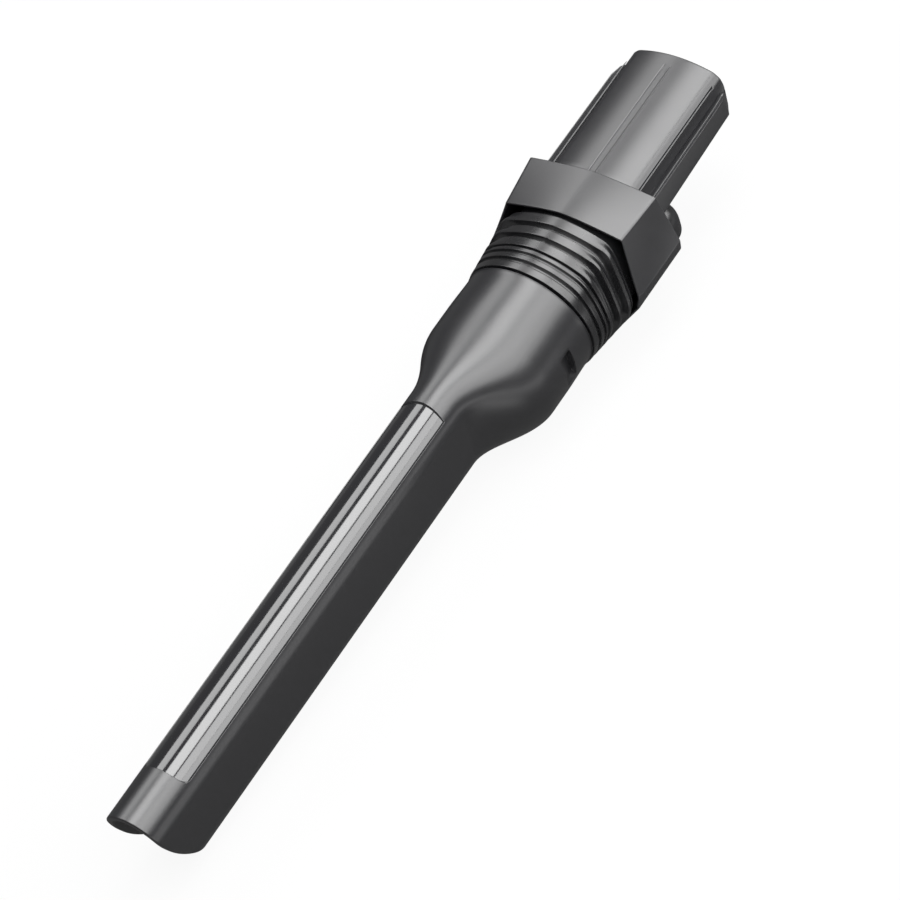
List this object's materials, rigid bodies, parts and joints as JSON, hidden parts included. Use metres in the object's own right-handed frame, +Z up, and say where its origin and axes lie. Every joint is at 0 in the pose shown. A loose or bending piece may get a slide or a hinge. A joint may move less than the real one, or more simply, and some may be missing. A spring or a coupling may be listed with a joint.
{
  "type": "vacuum crevice tool",
  "caption": "Slender flattened crevice nozzle with a rounded slanted mouth, round neck, ribbed sleeve and a collar with an oval push-in spigot.",
  "frame": {"origin": "on the neck's axis at the collar's shoulder, where the spigot begins", "axes": "+X along the tool to the spigot's free end, +Z up towards the trim strip on the narrow edge"},
  "size_m": [0.3061, 0.0546, 0.045],
  "materials": {
    "nozzle_body": "satin moulded",
    "trim_strip": "polished",
    "ribbed_sleeve": "soft moulded",
    "connector": "satin moulded"
  },
  "bodies": {
    "root": {"nozzle_body": "nozzle_body", "trim_strip": "trim_strip", "ribbed_sleeve": "ribbed_sleeve", "connector": "connector"}
  },
  "joints": []
}
